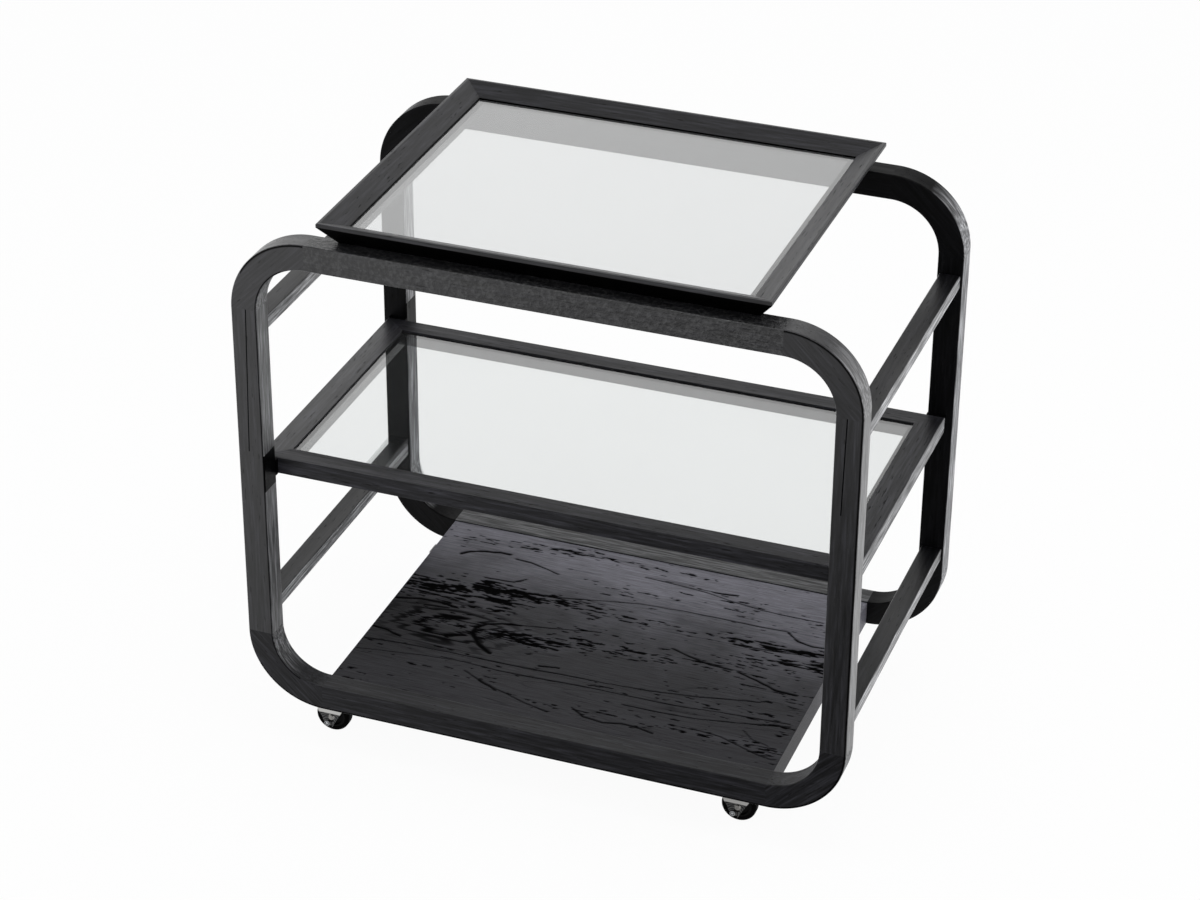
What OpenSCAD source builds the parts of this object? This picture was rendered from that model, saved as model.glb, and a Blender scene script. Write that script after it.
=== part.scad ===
// Serving trolley: two rounded timber rings joined by side rails, with a solid
// bottom board on four swivel casters, a glazed middle shelf and a lift-off glazed tray.
// The origin is on the floor under the middle of the trolley, X runs left to right,
// Y from front to back and Z up. Sizes are in millimetres.

/* [Rings] */
// Width of a ring over its posts
ring_w = 800; // [720:10:900]
// Height of a ring
ring_h = 665.5; // [600:4:760]
// Depth of the trolley over both rings
trolley_d = 480; // [420:10:560]
// Outer radius of a ring's rounded corners
ring_r = 100; // [80:5:110]
// Width of a ring member in the plane of the ring
bar_w = 34; // [30:1:40]
// Thickness of a ring member from front to back
bar_t = 32; // [28:1:38]
// Radius of the softened edges of the timber
arris = 1.5; // [0.5:0.5:3]

/* [Side rails] */
// Width of an upper or lower side rail
rail_w = 27; // [22:1:30]
// Height of an upper or lower side rail
rail_h = 17.5; // [14:0.5:22]
// Drop from the top of the rings to the top of the upper side rails
upper_drop = 124; // [112:2:160]
// Height of the top of the lower side rails above the underside of the rings
lower_rise = 139; // [130:0.5:180]

/* [Shelf] */
// Height of the top of the shelf frame above the underside of the rings
shelf_rise = 340.5; // [260:0.5:420]
// Height of the shelf rails
shelf_h = 22; // [18:0.5:26]
// Width of the left and right shelf rails
shelf_side_w = 33; // [28:1:38]
// Width of the front and back shelf rails
shelf_end_w = 28.5; // [24:0.5:34]
// Distance of the shelf frame's side face in from the outside of the posts
shelf_inset = 9.5; // [6:0.5:12]
// Gap between the shelf frame and each ring, filled by the spacers
shelf_gap = 6.5; // [4:0.5:10]
// Width of the ledge under the shelf glass
shelf_ledge_w = 6; // [4:0.5:9]
// Radius of the softened edges of the shelf's rebate and underside
shelf_ease = 0.5; // [0.3:0.1:1]
// Drop from the top of the shelf rails to the glass
shelf_glass_drop = 2.5; // [1.5:0.5:5]

/* [Board] */
// Distance of the board's ends in from the ends of the bottom rails
board_inset = 0; // [0:5:40]
// Thickness of the bottom board
board_t = 32; // [28:1:33]
// Height of the board's underside above the underside of the rings
board_lift = 0.5; // [0.5:0.5:1]

/* [Tray] */
// Distance of the tray's rim in from the ends of the top rails
tray_inset = 16; // [0:2:40]
// Distance of the tray's rim in from the outer faces of the rings
tray_setback = 4.5; // [0:0.5:8]
// Height of the tray
tray_h = 30; // [28:0.5:40]
// Width of the flat rim along the top of the tray
rim_w = 4; // [2:0.5:6]
// Height of the upright edge under the rim
rim_edge = 5; // [3:0.5:8]
// How far the outer face leans in from rim to foot
flare = 19.5; // [14:0.5:22]
// Width of a tray side from the rim to its inner wall
slope_run = 30; // [27:1:34]
// Drop of the inner slope from the rim to the top of the inner wall
slope_drop = 11.4; // [8:0.2:14]
// Drop from the rim to the tray glass
tray_glass_drop = 14; // [13:0.5:19]
// Width of the ledge under the tray glass
ledge_w = 8; // [5:1:12]
// Radius of the softened edges of the tray
tray_ease = 1; // [0.5:0.5:2]

/* [Glass] */
// Thickness of both panes
glass_t = 5; // [4:0.5:6]
// Clearance round a pane
glass_gap = 0.3; // [0.2:0.1:0.6]

/* [Casters] */
// Height of a caster from the floor to the board
caster_h = 64; // [58:1:70]
// Diameter of a wheel
wheel_d = 46; // [40:1:48]
// Width of a tyre
wheel_w = 16; // [14:1:20]
// Distance of the axle behind the swivel axis
trail = 27.5; // [24:0.5:30]
// Side of the square top plate
plate_w = 38; // [36:1:42]
// Thickness of the top plate
plate_t = 2.5; // [2:0.5:3]
// Distance of a top plate in from the edges of the board
plate_inset = 1; // [1:0.5:6]
// Height of the bearing cup under the top plate
cup_h = 4.5; // [4:0.5:6]
// Thickness of the fork's sheet metal
fork_t = 2; // [1.5:0.5:2.5]
// Diameter of the kingpin
kingpin_d = 7; // [6:0.5:8]
// Diameter of the axle
axle_d = 6; // [5:0.5:7]
// Thickness of the tyre's tread
tread_t = 5.5; // [4:0.5:7]

/* [Fixings] */
// Diameter of the dowels in the ring joints and the shelf and board joints
dowel_d = 8; // [6:1:10]
// Length of the dowels in the ring joints
dowel_l = 36; // [28:2:40]
// Depth of a dowel in a post or a ring rail
dowel_in = 16; // [12:1:20]
// Diameter of the two dowels at each end of a side rail
rail_dowel_d = 6; // [5:1:8]
// Diameter of the caster screws
screw_d = 4; // [3:0.5:4.5]
// Length of the caster screws under their heads
screw_l = 16; // [12:2:24]

/* [Hidden] */
$fn = 96;

front = -1;
back = 1;
left = -1;
right = 1;
bottom = -1;
top = 1;
depth_sides = [["front", front], ["back", back]];
width_sides = [["left", left], ["right", right]];
height_sides = [["bottom", bottom], ["top", top]];

timber = [0.16, 0.16, 0.17];
board_timber = [0.12, 0.12, 0.13];
pane = [0.80, 0.88, 0.86, 0.45];
steel = [0.70, 0.70, 0.68];
rubber = [0.05, 0.05, 0.05];
beech = [0.78, 0.62, 0.42];
cut = 1;
slip = 0.05;
run_gap = 0.3;

ring_z = caster_h - board_lift;
ring_top = ring_z + ring_h;
ring_mid = ring_z + ring_h / 2;
ring_in = trolley_d / 2 - bar_t;
ring_y = trolley_d / 2 - bar_t / 2;
arc_x = ring_w / 2 - ring_r;
arc_z = ring_h / 2 - ring_r;
post_x = ring_w / 2 - bar_w / 2;
edge_z = ring_h / 2 - bar_w / 2;
ring_dowel_gap = bar_t / 2;

upper_z = ring_top - upper_drop - rail_h / 2;
lower_z = ring_z + lower_rise - rail_h / 2;
rail_dowel_gap = rail_w / 2;
rail_dowel_l = 2 * dowel_in;

shelf_top = ring_z + shelf_rise;
shelf_x = ring_w / 2 - shelf_inset;
shelf_y = ring_in - shelf_gap;
spacer_in = ring_w / 2 - bar_w;
spacer_x = (shelf_x + spacer_in) / 2;
shelf_dowel_l = 2 * dowel_in + shelf_gap;
shelf_ledge_h = shelf_h - shelf_glass_drop - glass_t;

board_z = caster_h;
board_l = 2 * (arc_x - board_inset);
board_dowel_span = board_l / 2 - dowel_l - dowel_d / 2;
board_dowels = 5;

tray_w = 2 * (arc_x - tray_inset);
tray_d = trolley_d - 2 * tray_setback;
ledge_h = tray_h - tray_glass_drop - glass_t;
tray_section = eased(
    [[0, tray_h], [rim_w, tray_h], [slope_run, tray_h - slope_drop],
     [slope_run, ledge_h], [slope_run + ledge_w, ledge_h], [slope_run + ledge_w, 0],
     [flare, 0], [0, tray_h - rim_edge]],
    [tray_ease, 0, tray_ease, 0, 0, tray_ease, tray_ease, tray_ease]);

wheel_r = wheel_d / 2;
hub_r = wheel_r - tread_t;
hub_w = wheel_w + 2;
fork_in = hub_w / 2 + 0.4;
fork_out = fork_in + fork_t;
crown_z = caster_h - plate_t - cup_h - run_gap - fork_t;
crown_r = 13;
cup_r = 12;
pin_head_r = 6;
pin_head_h = 2;
axle_head_r = 4.6;
axle_head_h = 1.6;
tyre_round = 3.5;
web_w = 9;
rim_ring = 3;
boss_r = 6.5;
cheek_r = wheel_r - 6.5;
cheek_tip_r = 2;
cheek_tip_x = -0.9;
cheek_back = 20;
cheek_front = 18;
cheek_waist = 16;
caster_x = board_l / 2 - plate_inset - plate_w / 2;
caster_y = ring_in - plate_inset - plate_w / 2;
screw_at = plate_w / 2 - 5;
screw_head_r = screw_d * 0.9;
screw_head_h = 2;
plate_round = 4;

// Outline of a bar's section, w wide and h high, with softened edges
function softened(w, h, r, n = 3) = [
    for (c = [[1, 1, 0], [-1, 1, 90], [-1, -1, 180], [1, -1, 270]], i = [0 : n])
        [c[0] * (w / 2 - r) + r * cos(c[2] + 90 * i / n),
         c[1] * (h / 2 - r) + r * sin(c[2] + 90 * i / n)]];

function unit(v) = v / norm(v);

// Outline p with its corner i rounded to radius r[i]
function eased(p, r, n = 3) = [
    for (i = [0 : len(p) - 1])
        let (u = unit(p[(i + len(p) - 1) % len(p)] - p[i]),
             v = unit(p[(i + 1) % len(p)] - p[i]),
             half = acos(u * v) / 2,
             centre = p[i] + unit(u + v) * r[i] / sin(half),
             from = p[i] + u * r[i] / tan(half) - centre,
             to = p[i] + v * r[i] / tan(half) - centre)
        for (k = [0 : r[i] > 0 ? n : 0])
            r[i] > 0 ? centre + r[i] * unit(from * (1 - k / n) + to * k / n) : p[i]];

// Points along an arc from angle a0 to a1
function arc(cx, cy, r, a0, a1, n) = [
    for (i = [0 : n]) [cx + r * cos(a0 + (a1 - a0) * i / n), cy + r * sin(a0 + (a1 - a0) * i / n)]];

// Bar along X, centred, d deep and h high
module bar_x(l, d, h) {
    rotate([90, 0, 90])
        linear_extrude(l, center = true)
            polygon(softened(d, h, arris));
}

// Round bar along X, centred
module pin_x(r, l) {
    rotate([0, 90, 0])
        cylinder(r = r, h = l, center = true);
}

// Round bar along Y, centred
module pin_y(r, l) {
    rotate([90, 0, 0])
        cylinder(r = r, h = l, center = true);
}

// The two dowels between a ring rail and a corner
module rail_joint(sy, sx, sz, extra = 0) {
    for (k = [-1, 1])
        translate([sx * arc_x, sy * ring_y + k * ring_dowel_gap / 2, ring_mid + sz * edge_z])
            pin_x(dowel_d / 2 + extra, dowel_l + 2 * extra);
}

// The two dowels between a post and a corner
module post_joint(sy, sx, sz, extra = 0) {
    for (k = [-1, 1])
        translate([sx * post_x, sy * ring_y + k * ring_dowel_gap / 2, ring_mid + sz * arc_z])
            cylinder(r = dowel_d / 2 + extra, h = dowel_l + 2 * extra, center = true);
}

// The two dowels between a post and the end of a side rail
module side_joint(sy, sx, z, extra = 0) {
    for (k = [-1, 1])
        translate([sx * post_x + k * rail_dowel_gap / 2, sy * ring_in, z])
            pin_y(rail_dowel_d / 2 + extra, rail_dowel_l + 2 * extra);
}

// The dowel from a post through a spacer into the shelf frame
module shelf_joint(sy, sx, extra = 0) {
    translate([sx * spacer_x, sy * (ring_in - shelf_gap / 2), shelf_top - shelf_h / 2])
        pin_y(dowel_d / 2 + extra, shelf_dowel_l + 2 * extra);
}

// The dowels between a bottom rail and the board
module board_joint(sy, extra = 0) {
    for (i = [0 : board_dowels - 1])
        translate([board_dowel_span * (2 * i / (board_dowels - 1) - 1), sy * ring_in, board_z + board_t / 2])
            pin_y(dowel_d / 2 + extra, 2 * dowel_in + 2 * extra);
}

// Top or bottom rail of a ring
module ring_rail(sy, sz) {
    color(timber)
    difference() {
        translate([0, sy * ring_y, ring_mid + sz * edge_z])
            bar_x(2 * arc_x, bar_t, bar_w);
        for (sx = [left, right])
            rail_joint(sy, sx, sz, slip);
        if (sz == bottom)
            board_joint(sy, slip);
    }
}

// Left or right post of a ring
module ring_post(sy, sx) {
    color(timber)
    difference() {
        translate([sx * post_x, sy * ring_y, ring_mid])
            linear_extrude(2 * arc_z, center = true)
                polygon(softened(bar_w, bar_t, arris));
        for (sz = [bottom, top])
            post_joint(sy, sx, sz, slip);
        for (z = [lower_z, upper_z])
            side_joint(sy, sx, z, slip);
        shelf_joint(sy, sx, slip);
    }
}

// Curved corner of a ring, a quarter turn of the bar's section
module ring_corner(sy, sx, sz) {
    start = sx == right ? (sz == top ? 0 : 270) : (sz == top ? 90 : 180);
    color(timber)
    difference() {
        translate([sx * arc_x, sy * ring_y, ring_mid + sz * arc_z])
            rotate([90, 0, 0])
                rotate([0, 0, start])
                    rotate_extrude(angle = 90)
                        translate([ring_r - bar_w / 2, 0])
                            polygon(softened(bar_w, bar_t, arris));
        rail_joint(sy, sx, sz, slip);
        post_joint(sy, sx, sz, slip);
    }
}

// Upper or lower side rail between the two rings
module side_rail(sx, z) {
    color(timber)
    difference() {
        translate([sx * post_x, 0, z])
            rotate([0, 0, 90])
                bar_x(2 * ring_in, rail_w, rail_h);
        for (sy = [front, back])
            side_joint(sy, sx, z, slip);
    }
}

// Section of a shelf rail w wide, from its outer face at 0, with the ledge for the glass
function shelf_section(w) = eased(
    [[0, 0], [0, shelf_h], [-w, shelf_h], [-w, shelf_ledge_h],
     [-w - shelf_ledge_w, shelf_ledge_h], [-w - shelf_ledge_w, 0]],
    [shelf_ease, arris, shelf_ease, 0, shelf_ease, shelf_ease]);

// Shelf rail along X with its outer face at Y 0 and its ends mitred
module shelf_rail(l, w, mitre) {
    intersection() {
        rotate([90, 0, 90])
            linear_extrude(l, center = true)
                polygon(shelf_section(w));
        translate([0, 0, -cut])
            linear_extrude(shelf_h + 2 * cut)
                polygon([[-l / 2, 0], [l / 2, 0], [l / 2 - mitre, -w],
                         [l / 2 - mitre - shelf_ledge_w, -w - shelf_ledge_w],
                         [-l / 2 + mitre + shelf_ledge_w, -w - shelf_ledge_w], [-l / 2 + mitre, -w]]);
    }
}

// Front or back shelf rail
module shelf_end_rail(sy) {
    color(timber)
    difference() {
        translate([0, sy * shelf_y, shelf_top - shelf_h])
            rotate([0, 0, sy == back ? 0 : 180])
                shelf_rail(2 * shelf_x, shelf_end_w, shelf_side_w);
        for (sx = [left, right])
            shelf_joint(sy, sx, slip);
    }
}

// Left or right shelf rail
module shelf_side_rail(sx) {
    color(timber)
    difference() {
        translate([sx * shelf_x, 0, shelf_top - shelf_h])
            rotate([0, 0, -90 * sx])
                shelf_rail(2 * shelf_y, shelf_side_w, shelf_end_w);
        for (sy = [front, back])
            shelf_joint(sy, sx, slip);
    }
}

module shelf_glass() {
    pane_x = shelf_x - shelf_side_w - glass_gap;
    pane_y = shelf_y - shelf_end_w - glass_gap;
    color(pane)
        translate([-pane_x, -pane_y, shelf_top - shelf_h + shelf_ledge_h])
            cube([2 * pane_x, 2 * pane_y, glass_t]);
}

// Four blocks between the shelf frame and the posts
module shelf_spacers() {
    color(timber)
    for (sy = [front, back], sx = [left, right])
        difference() {
            translate([sx * spacer_x, sy * (ring_in - shelf_gap / 2), shelf_top - shelf_h / 2])
                cube([shelf_x - spacer_in, shelf_gap, shelf_h], center = true);
            shelf_joint(sy, sx, slip);
        }
}

module bottom_board() {
    color(board_timber)
    difference() {
        translate([0, 0, board_z + board_t / 2])
            rotate([0, 0, 90])
                bar_x(2 * ring_in, board_l, board_t);
        for (sy = [front, back])
            board_joint(sy, slip);
        for (sy = [front, back], sx = [left, right])
            plate_screws(sy, sx, slip);
    }
}

// Tray side along X with its rim at Y 0, mitred at 45 degrees
module tray_side(l) {
    reach = slope_run + ledge_w + cut;
    intersection() {
        rotate([90, 0, 90])
            linear_extrude(l, center = true)
                polygon([for (p = tray_section) [-p[0], p[1]]]);
        translate([0, 0, -cut])
            linear_extrude(tray_h + 2 * cut)
                polygon([[-l / 2, 0], [l / 2, 0], [l / 2 - reach, -reach], [-l / 2 + reach, -reach]]);
    }
}

module tray_long_side(sy) {
    color(timber)
        translate([0, sy * tray_d / 2, ring_top])
            rotate([0, 0, sy == back ? 0 : 180])
                tray_side(tray_w);
}

module tray_short_side(sx) {
    color(timber)
        translate([sx * tray_w / 2, 0, ring_top])
            rotate([0, 0, -90 * sx])
                tray_side(tray_d);
}

module tray_glass() {
    pane_x = tray_w / 2 - slope_run - glass_gap;
    pane_y = tray_d / 2 - slope_run - glass_gap;
    color(pane)
        translate([-pane_x, -pane_y, ring_top + ledge_h])
            cube([2 * pane_x, 2 * pane_y, glass_t]);
}

module ring_dowels() {
    color(beech)
    for (sy = [front, back], sx = [left, right], sz = [bottom, top]) {
        rail_joint(sy, sx, sz);
        post_joint(sy, sx, sz);
    }
}

module frame_dowels() {
    color(beech)
    for (sy = [front, back]) {
        for (sx = [left, right]) {
            side_joint(sy, sx, lower_z);
            side_joint(sy, sx, upper_z);
            shelf_joint(sy, sx);
        }
        board_joint(sy);
    }
}

// The four screw shanks of one top plate
module plate_screws(sy, sx, extra = 0) {
    for (kx = [-1, 1], ky = [-1, 1])
        translate([sx * caster_x + kx * screw_at, sy * caster_y + ky * screw_at, board_z - plate_t])
            cylinder(r = screw_d / 2 + extra, h = screw_l + extra);
}

module caster_screws() {
    color(steel)
    for (sy = [front, back], sx = [left, right]) {
        plate_screws(sy, sx);
        for (kx = [-1, 1], ky = [-1, 1])
            translate([sx * caster_x + kx * screw_at, sy * caster_y + ky * screw_at,
                       board_z - plate_t - screw_head_h])
                cylinder(r1 = screw_head_r * 0.7, r2 = screw_head_r, h = screw_head_h);
    }
}

// Square top plate with the bearing cup under it
module caster_plate(sy, sx) {
    color(steel)
    difference() {
        translate([sx * caster_x, sy * caster_y, board_z - plate_t]) {
            linear_extrude(plate_t)
                polygon(softened(plate_w, plate_w, plate_round, 6));
            translate([0, 0, -cup_h])
                cylinder(r1 = cup_r, r2 = cup_r - 1, h = cup_h);
        }
        translate([sx * caster_x, sy * caster_y, board_z - plate_t - cup_h - cut])
            cylinder(r = kingpin_d / 2 + slip, h = plate_t + cup_h + 2 * cut);
        plate_screws(sy, sx, slip);
    }
}

// Kingpin riveted in the top plate, with the head that carries the fork
module caster_kingpin(sy, sx) {
    color(steel)
        translate([sx * caster_x, sy * caster_y, crown_z - run_gap]) {
            translate([0, 0, -pin_head_h])
                cylinder(r1 = pin_head_r - 1, r2 = pin_head_r, h = pin_head_h);
            cylinder(r = kingpin_d / 2, h = board_z - crown_z + run_gap);
        }
}

// Side view of a fork cheek, with the axle at the origin and the swivel axis at X = trail.
// Its back edge follows the tyre and its front edge runs straight down to the tip.
function cheek_outline() = let (top_z = crown_z + fork_t - wheel_r)
    concat(arc(0, 0, cheek_r, 185, 262, 8),
        arc(cheek_tip_x, cheek_tip_r - cheek_r + 0.2, cheek_tip_r, 275, 330, 4),
        [[cheek_front, cheek_waist], [trail + crown_r - 2, top_z], [-cheek_back, top_z],
         [-cheek_back, cheek_waist - 4]]);

// Pressed fork: a crown round the kingpin and two cheeks that hold the axle
module caster_fork(sy, sx) {
    crown_back = -trail - cheek_back;
    color(steel)
    translate([sx * caster_x, sy * caster_y, 0])
    difference() {
        union() {
            translate([0, 0, crown_z])
                cylinder(r = crown_r, h = fork_t);
            translate([crown_back, -fork_out, crown_z])
                cube([crown_r - 2 - crown_back, 2 * fork_out, fork_t]);
            for (k = [-1, 1])
                translate([-trail, k * (fork_in + fork_t / 2), wheel_r])
                    rotate([90, 0, 0])
                        linear_extrude(fork_t, center = true)
                            polygon(cheek_outline());
        }
        translate([0, 0, crown_z - cut])
            cylinder(r = kingpin_d / 2 + slip, h = fork_t + 2 * cut);
        translate([-trail, 0, wheel_r])
            pin_y(axle_d / 2 + slip, 2 * fork_out + 2 * cut);
    }
}

// Riveted axle through both cheeks and the hub
module caster_axle(sy, sx) {
    color(steel)
    translate([sx * caster_x - trail, sy * caster_y, wheel_r]) {
        pin_y(axle_d / 2, 2 * fork_out);
        for (k = [0, 180])
            rotate([90, 0, k])
                translate([0, 0, fork_out])
                    cylinder(r1 = axle_head_r, r2 = axle_head_r - 1.2, h = axle_head_h);
    }
}

// Hub turned about its axle: boss, thin web and rim
module caster_hub(sy, sx) {
    color(rubber)
    translate([sx * caster_x - trail, sy * caster_y, wheel_r])
        rotate([90, 0, 0])
            rotate_extrude()
                polygon([[axle_d / 2 + slip, -hub_w / 2], [boss_r, -hub_w / 2], [boss_r, -web_w / 2],
                         [hub_r - rim_ring, -web_w / 2], [hub_r - rim_ring, -wheel_w / 2 + 1],
                         [hub_r, -wheel_w / 2 + 1], [hub_r, wheel_w / 2 - 1],
                         [hub_r - rim_ring, wheel_w / 2 - 1], [hub_r - rim_ring, web_w / 2],
                         [boss_r, web_w / 2], [boss_r, hub_w / 2], [axle_d / 2 + slip, hub_w / 2]]);
}

// Tyre with rounded shoulders
module caster_tyre(sy, sx) {
    color(rubber)
    translate([sx * caster_x - trail, sy * caster_y, wheel_r])
        rotate([90, 0, 0])
            rotate_extrude()
                polygon(concat([[hub_r, -wheel_w / 2]],
                    arc(wheel_r - tyre_round, -wheel_w / 2 + tyre_round, tyre_round, -90, 0, 5),
                    arc(wheel_r - tyre_round, wheel_w / 2 - tyre_round, tyre_round, 0, 90, 5),
                    [[hub_r, wheel_w / 2]]));
}

for (d = depth_sides) {
    for (h = height_sides)
        ring_rail(d[1], h[1]);
    for (w = width_sides)
        ring_post(d[1], w[1]);
    for (h = height_sides, w = width_sides)
        ring_corner(d[1], w[1], h[1]);
    shelf_end_rail(d[1]);
    tray_long_side(d[1]);
}
for (w = width_sides) {
    side_rail(w[1], upper_z);
    side_rail(w[1], lower_z);
    shelf_side_rail(w[1]);
    tray_short_side(w[1]);
}
shelf_glass();
shelf_spacers();
bottom_board();
tray_glass();
ring_dowels();
frame_dowels();
caster_screws();
for (d = depth_sides, w = width_sides) {
    place = str(d[0], "_", w[0]);
    caster_plate(d[1], w[1]);
    caster_kingpin(d[1], w[1]);
    caster_fork(d[1], w[1]);
    caster_axle(d[1], w[1]);
    caster_hub(d[1], w[1]);
    caster_tyre(d[1], w[1]);
}
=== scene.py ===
# %% [markdown]
# # Serving trolley
# Two rounded rings of black-stained timber carry a glazed shelf, a solid bottom
# board and a loose glazed tray. It rolls on four swivel casters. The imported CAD
# model gives every size. This file adds the finishes, the light, the fine relief of
# the bottom board and the pressed look of the caster forks.

# %% Load the frame
import math

import bpy
import numpy as np
from mathutils import Matrix, Vector, noise


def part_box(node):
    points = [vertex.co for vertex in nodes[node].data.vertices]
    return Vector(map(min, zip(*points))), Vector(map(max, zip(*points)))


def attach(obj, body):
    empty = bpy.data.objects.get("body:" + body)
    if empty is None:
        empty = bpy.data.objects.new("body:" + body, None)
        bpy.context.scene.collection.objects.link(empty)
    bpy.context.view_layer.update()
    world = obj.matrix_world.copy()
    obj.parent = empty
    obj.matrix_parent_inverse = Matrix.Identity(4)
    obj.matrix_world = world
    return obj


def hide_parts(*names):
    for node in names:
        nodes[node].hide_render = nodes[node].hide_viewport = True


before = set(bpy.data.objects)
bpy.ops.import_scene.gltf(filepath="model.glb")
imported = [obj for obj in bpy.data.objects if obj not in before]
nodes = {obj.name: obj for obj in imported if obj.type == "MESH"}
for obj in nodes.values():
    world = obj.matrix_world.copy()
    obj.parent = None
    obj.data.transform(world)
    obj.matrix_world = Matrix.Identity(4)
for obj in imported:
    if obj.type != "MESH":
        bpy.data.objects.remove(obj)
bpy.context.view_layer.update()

# %% [markdown]
# ## The camera
# The photograph was taken from the right and above with a long lens. Its place was
# found by fitting the straight edges of the trolley, so it is written as a point, two
# angles and a small roll. A camera looks along its own -Z, which sets the matrix.

# %% Camera
PHOTO_WIDTH = 1200
SENSOR = 36.0
focal_pixels = 3196.97
turn = math.radians(20.104)
tilt = math.radians(29.726)
roll = math.radians(0.456)
eye = Vector((1.211184, -3.332494, 2.407409))
ahead = Vector((-math.sin(turn) * math.cos(tilt), math.cos(turn) * math.cos(tilt), -math.sin(tilt)))
level = Vector((math.cos(turn), math.sin(turn), 0.0))
upward = level.cross(ahead)
side = math.cos(roll) * level + math.sin(roll) * upward
top = -math.sin(roll) * level + math.cos(roll) * upward
bpy.ops.object.camera_add()
camera = bpy.context.object
camera.matrix_world = Matrix.Translation(eye) @ Matrix((side, top, -ahead)).transposed().to_4x4()
camera.data.sensor_width = SENSOR
camera.data.lens = focal_pixels / PHOTO_WIDTH * SENSOR
bpy.context.scene.camera = camera
print("lens in mm:", round(camera.data.lens, 2))

# %% [markdown]
# ## Small tools for node materials
# A finish is a tree of shader nodes. Each helper adds one node, feeds it and hands back
# its output, so that the cells below read like a recipe. A plain value is set on the
# socket itself, and another node's output is linked to it.

# %% Node helpers
def new_finish(name):
    finish = bpy.data.materials.new(name)
    finish.use_nodes = True
    return finish, finish.node_tree, finish.node_tree.nodes["Principled BSDF"]


def plug(tree, source, socket):
    if isinstance(source, bpy.types.NodeSocket):
        tree.links.new(source, socket)
    else:
        socket.default_value = source


def add(tree, kind, sockets=None, **settings):
    made = tree.nodes.new(kind)
    for key, value in settings.items():
        setattr(made, key, value)
    for key, value in (sockets or {}).items():
        plug(tree, value, made.inputs[key])
    return made


def math_of(tree, operation, *sources):
    return add(tree, "ShaderNodeMath", dict(enumerate(sources)), operation=operation).outputs[0]


def measure(tree, operation, *vectors):
    return add(tree, "ShaderNodeVectorMath", dict(enumerate(vectors)), operation=operation).outputs["Value"]


def axes_of(tree, vector):
    return add(tree, "ShaderNodeSeparateXYZ", {0: vector}).outputs


def mapped(tree, vector, **sockets):
    return add(tree, "ShaderNodeMapping", {"Vector": vector, **sockets}).outputs["Vector"]


# %% [markdown]
# ## Tools for tones
# A ramp turns a number into a tone, a map range turns one span of numbers into another,
# and a mix lays one tone over another where its share is high. Noise gives most of the
# numbers, and a bump lets the same noise catch the light.

# %% Tone helpers
def ramp(tree, source, stops):
    made = add(tree, "ShaderNodeValToRGB", {"Fac": source})
    elements = made.color_ramp.elements
    while len(elements) < len(stops):
        elements.new(0.5)
    for element, (place, tone) in zip(elements, stops):
        element.position = place
        element.color = (*tone, 1.0) if isinstance(tone, tuple) else (tone, tone, tone, 1.0)
    return made.outputs["Color"]


def ranged(tree, source, low, high, to_low=0.0, to_high=1.0):
    spans = {"Value": source, "From Min": low, "From Max": high, "To Min": to_low, "To Max": to_high}
    return add(tree, "ShaderNodeMapRange", spans).outputs["Result"]


def over(tree, share, below, above, blend_type="MIX"):
    tones = {"Factor": share, "A": below, "B": above}
    return add(tree, "ShaderNodeMix", tones, data_type="RGBA", blend_type=blend_type).outputs["Result"]


def noise_of(tree, vector, scale, detail, roughness=0.5):
    sockets = {"Vector": vector, "Scale": scale, "Detail": detail, "Roughness": roughness}
    return add(tree, "ShaderNodeTexNoise", sockets).outputs["Fac"]


def bump_of(tree, height, strength, distance):
    sockets = {"Height": height, "Strength": strength, "Distance": distance}
    return add(tree, "ShaderNodeBump", sockets).outputs["Normal"]


# %% [markdown]
# ## Studio light
# Black wood shows almost no colour of its own: what the eye reads is the pale room
# mirrored in its lacquer. The room is therefore made first. The world is white to the
# camera, and a little darker overhead for reflections, like a real studio.

# %% World
WHITE = (1.0, 1.0, 1.0, 1.0)
WINDOW_WAY = (-0.338, 0.796, 0.502)
WINDOW_SHARE = 0.75
ROOM_LEVEL = 0.75
world = bpy.data.worlds.new("studio")
bpy.context.scene.world = world
world.use_nodes = True
sky = world.node_tree
sky.nodes.clear()
rays = add(sky, "ShaderNodeLightPath").outputs
looking = add(sky, "ShaderNodeTexCoord").outputs["Generated"]
height = math_of(sky, "ABSOLUTE", axes_of(sky, looking)["Z"])
ceiling = ramp(sky, height, [(0.0, 0.95), (0.14, 0.85), (0.45, 0.62), (0.80, 0.42), (1.0, 0.40)])
window = measure(sky, "DOT_PRODUCT", looking, WINDOW_WAY)
glare = ramp(sky, window, [(0.84, 0.0), (0.95, 0.55), (1.0, 1.0)])
mirrored = over(sky, WINDOW_SHARE, ceiling, glare, blend_type="ADD")
room = add(sky, "ShaderNodeBackground", {"Color": (0.97, 0.985, 1.0, 1.0), "Strength": ROOM_LEVEL})
gloss = add(sky, "ShaderNodeBackground", {"Color": mirrored, "Strength": 1.0})
backdrop = add(sky, "ShaderNodeBackground", {"Color": WHITE, "Strength": 1.0})
lit = add(sky, "ShaderNodeMixShader", {0: rays["Is Glossy Ray"], 1: room.outputs[0], 2: gloss.outputs[0]})
direct = math_of(sky, "MAXIMUM", rays["Is Camera Ray"], rays["Is Transmission Ray"])
shown = add(sky, "ShaderNodeMixShader", {0: direct, 1: lit.outputs[0], 2: backdrop.outputs[0]})
add(sky, "ShaderNodeOutputWorld", {"Surface": shown.outputs[0]})
print("world:", len(sky.nodes), "nodes")

# %% [markdown]
# ## Lamps
# A softbox right above gives the rounded corners their sheen, a strip on the right runs
# a light line along the edges that look that way, and a weak fill in front keeps the
# near faces from going flat. None stands where a pane would mirror it to the camera.

# %% Lamps
aim = Vector((0.0, 0.0, 0.42))


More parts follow.
